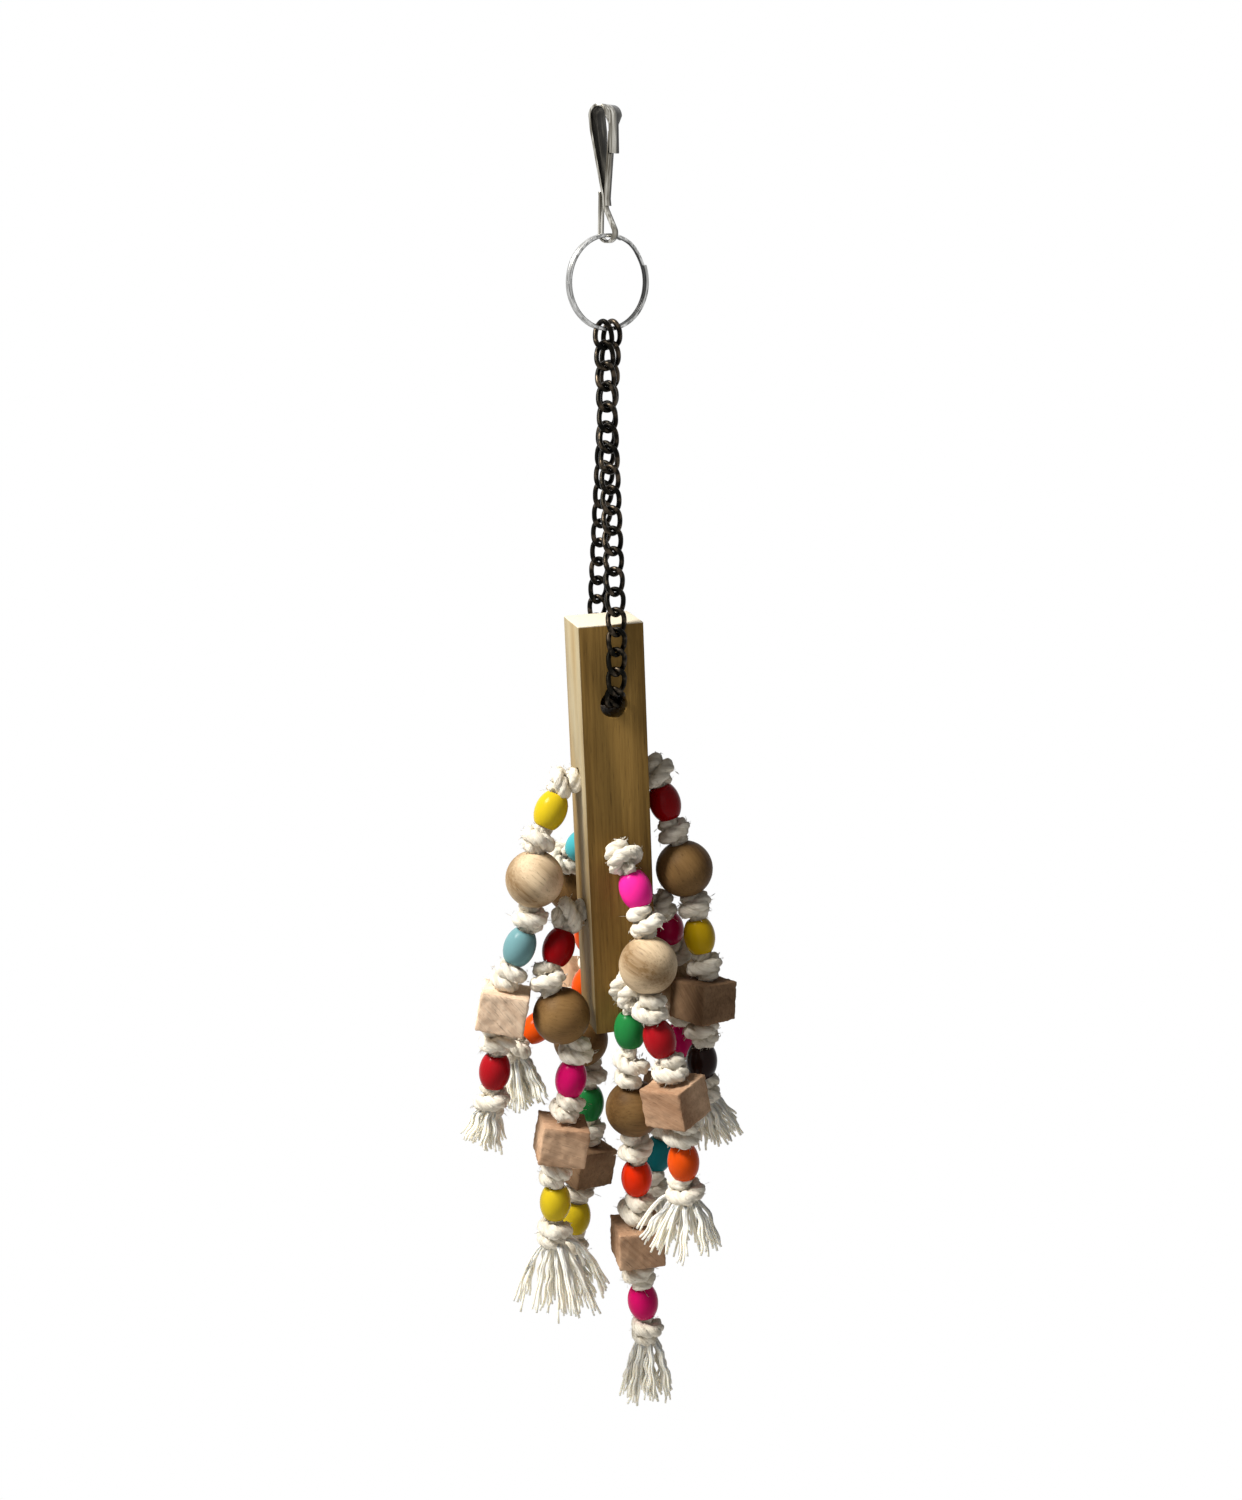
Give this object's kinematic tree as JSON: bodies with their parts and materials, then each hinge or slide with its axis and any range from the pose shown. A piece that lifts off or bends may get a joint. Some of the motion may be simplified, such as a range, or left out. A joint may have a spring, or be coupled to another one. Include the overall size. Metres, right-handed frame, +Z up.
{
  "type": "hanging bird chew toy",
  "caption": "Square wooden post hung by a chain, split ring and snap clip, with knotted cotton strands of wooden balls, blocks and painted beads.",
  "frame": {"origin": "centre of the snap clip's top bend, where a perch or cage wire carries the toy", "axes": "+Z up, -Y towards the viewer, the side that the picture shows most of, +X to the viewer's right"},
  "size_m": [0.0882, 0.0982, 0.4108],
  "materials": {
    "clip_nickel": "nickel plated, softly polished",
    "ring_nickel": "nickel plated, bright",
    "chain_bronze": "antique bronze plated, dark with worn brown highlights",
    "post_wood": "planed, straight grain, unfinished",
    "ball_wood": "turned, smooth, unfinished",
    "block_wood": "rough sawn, unfinished",
    "cotton_rope": "natural twisted cotton, frayed ends",
    "paint_brown": "gloss painted wood",
    "paint_crimson": "gloss painted wood",
    "paint_dark_red": "gloss painted wood",
    "paint_green": "gloss painted wood",
    "paint_hot_pink": "gloss painted wood",
    "paint_magenta": "gloss painted wood",
    "paint_olive": "gloss painted wood",
    "paint_orange": "gloss painted wood",
    "paint_orange_red": "gloss painted wood",
    "paint_pale_blue": "gloss painted wood",
    "paint_red": "gloss painted wood",
    "paint_teal": "gloss painted wood",
    "paint_yellow": "gloss painted wood"
  },
  "bodies": {
    "clip": {"clip_body": "clip_nickel"},
    "gate": {"clip_gate": "clip_nickel"},
    "ring": {"split_ring": "ring_nickel"},
    "top_links": {"chain_top_link_front": "chain_bronze", "chain_top_link_back": "chain_bronze"},
    "chain": {"chain_front_run": "chain_bronze", "chain_back_run": "chain_bronze", "chain_through_post": "chain_bronze"},
    "post": {"wooden_post": "post_wood", "left_upper_bead_1": "paint_yellow", "left_upper_ball": "ball_wood", "left_upper_bead_2": "paint_pale_blue", "left_upper_block": "block_wood", "left_upper_bead_3": "paint_red", "right_upper_bead_1": "paint_dark_red", "right_upper_ball": "ball_wood", "right_upper_bead_2": "paint_olive", "right_upper_block": "block_wood", "right_upper_bead_3": "paint_brown", "front_upper_bead_1": "paint_hot_pink", "front_upper_ball": "ball_wood", "front_upper_bead_2": "paint_red", "front_upper_block": "block_wood", "front_upper_bead_3": "paint_orange", "back_upper_bead_1": "paint_teal", "back_upper_ball": "ball_wood", "back_upper_bead_2": "paint_orange", "back_upper_block": "block_wood", "back_upper_bead_3": "paint_orange", "left_lower_bead_1": "paint_dark_red", "left_lower_ball": "ball_wood", "left_lower_bead_2": "paint_magenta", "left_lower_block": "block_wood", "left_lower_bead_3": "paint_yellow", "right_lower_bead_1": "paint_crimson", "right_lower_ball": "ball_wood", "right_lower_bead_2": "paint_magenta", "right_lower_block": "block_wood", "right_lower_bead_3": "paint_teal", "front_lower_bead_1": "paint_green", "front_lower_ball": "ball_wood", "front_lower_bead_2": "paint_orange_red", "front_lower_block": "block_wood", "front_lower_bead_3": "paint_magenta", "back_lower_bead_1": "paint_orange", "back_lower_ball": "ball_wood", "back_lower_bead_2": "paint_green", "back_lower_block": "block_wood", "back_lower_bead_3": "paint_yellow", "rope_side_upper": "cotton_rope", "rope_front_back_upper": "cotton_rope", "rope_side_lower": "cotton_rope", "rope_front_back_lower": "cotton_rope"}
  },
  "joints": [
    {"name": "gate_flex", "type": "hinge", "parent": "clip", "child": "gate", "pos_m": [0.00053, -0.00057, -0.02278], "axis": [-0.7314, -0.682, 0], "range_deg": [0, 11], "stiffness_Nm_per_rad": 0.12, "springref_deg": -2.86},
    {"name": "ring_swing", "type": "hinge", "parent": "clip", "child": "ring", "pos_m": [0.00075, -0.0008, -0.03296], "axis": [0.9455, 0.3256, 0], "range_deg": [-35, 35]},
    {"name": "chain_slide_round_ring", "type": "hinge", "parent": "ring", "child": "top_links", "pos_m": [0.00075, -0.0008, -0.04621], "axis": [-0.3256, 0.9455, 0], "range_deg": [-50, 50]},
    {"name": "chain_swing", "type": "hinge", "parent": "top_links", "child": "chain", "pos_m": [0.00075, -0.0008, -0.06402], "axis": [0.6634, 0.7482, 0], "range_deg": [-12, 12]},
    {"name": "post_swing", "type": "hinge", "parent": "chain", "child": "post", "pos_m": [0.00075, -0.0008, -0.16981], "axis": [0, 1, 0], "range_deg": [-25, 25]}
  ]
}
